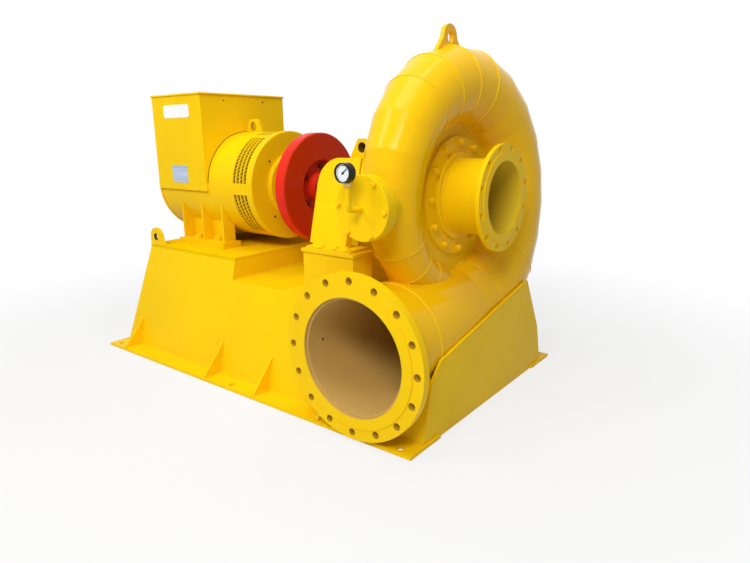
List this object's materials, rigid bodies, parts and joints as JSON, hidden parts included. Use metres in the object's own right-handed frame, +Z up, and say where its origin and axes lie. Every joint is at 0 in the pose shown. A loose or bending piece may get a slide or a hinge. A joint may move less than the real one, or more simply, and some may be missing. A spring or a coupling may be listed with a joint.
{
  "type": "hydroelectric generator",
  "caption": "Horizontal Francis turbine generating set: spiral casing with flanged inlet and draft outlet, flywheel, generator and terminal box on one welded skid.",
  "frame": {"origin": "on the floor, midway between the four outer anchor holes of the skid, below the shaft line", "axes": "+X along the shaft from the generator to the draft outlet, +Z up, -Y is the side of the water inlet"},
  "size_m": [1.8485, 1.213, 1.3688],
  "materials": {
    "yellow_paint": "gloss",
    "red_paint": "gloss",
    "steel": "satin",
    "gauge_black": "gloss",
    "gauge_white": "matte"
  },
  "bodies": {
    "frame": {"back_base_lug": "yellow_paint", "back_foot_strip": "yellow_paint", "back_rail": "yellow_paint", "back_saddle": "yellow_paint", "back_wall": "yellow_paint", "bearing_housing": "yellow_paint", "bearing_lug": "yellow_paint", "bearing_pedestal": "yellow_paint", "blind_flange": "yellow_paint", "bracket_column": "yellow_paint", "bracket_plate": "yellow_paint", "bracket_post": "yellow_paint", "cross_wall": "yellow_paint", "draft_cover": "yellow_paint", "draft_flange": "yellow_paint", "draft_tube": "yellow_paint", "drive_end_bell": "yellow_paint", "front_base_lug": "yellow_paint", "front_foot_strip": "yellow_paint", "front_rail": "yellow_paint", "front_saddle": "yellow_paint", "front_wall": "yellow_paint", "gauge_case": "gauge_black", "gauge_dial": "gauge_white", "gauge_pipe": "yellow_paint", "generator_back_foot": "yellow_paint", "generator_deck": "yellow_paint", "generator_frame": "yellow_paint", "generator_front_foot": "yellow_paint", "generator_lug": "yellow_paint", "inlet_flange": "yellow_paint", "inlet_pipe": "yellow_paint", "inspection_nozzle": "yellow_paint", "left_end_wall": "yellow_paint", "pit_floor": "yellow_paint", "pit_wall": "yellow_paint", "rear_end_bell": "yellow_paint", "right_end_wall": "yellow_paint", "scroll_back": "yellow_paint", "scroll_front": "yellow_paint", "scroll_lower": "yellow_paint", "scroll_lug": "yellow_paint", "scroll_top": "yellow_paint", "shaft_side_cover": "yellow_paint", "stay_ring": "yellow_paint", "terminal_box": "yellow_paint", "terminal_box_lid": "yellow_paint"},
    "rotor": {"flywheel": "red_paint", "runner": "steel", "shaft": "steel"}
  },
  "joints": [
    {"name": "rotor_spin", "type": "hinge", "parent": "frame", "child": "rotor", "pos_m": [0.258, 0, 0.771], "axis": [1, 0, 0], "continuous": true}
  ]
}
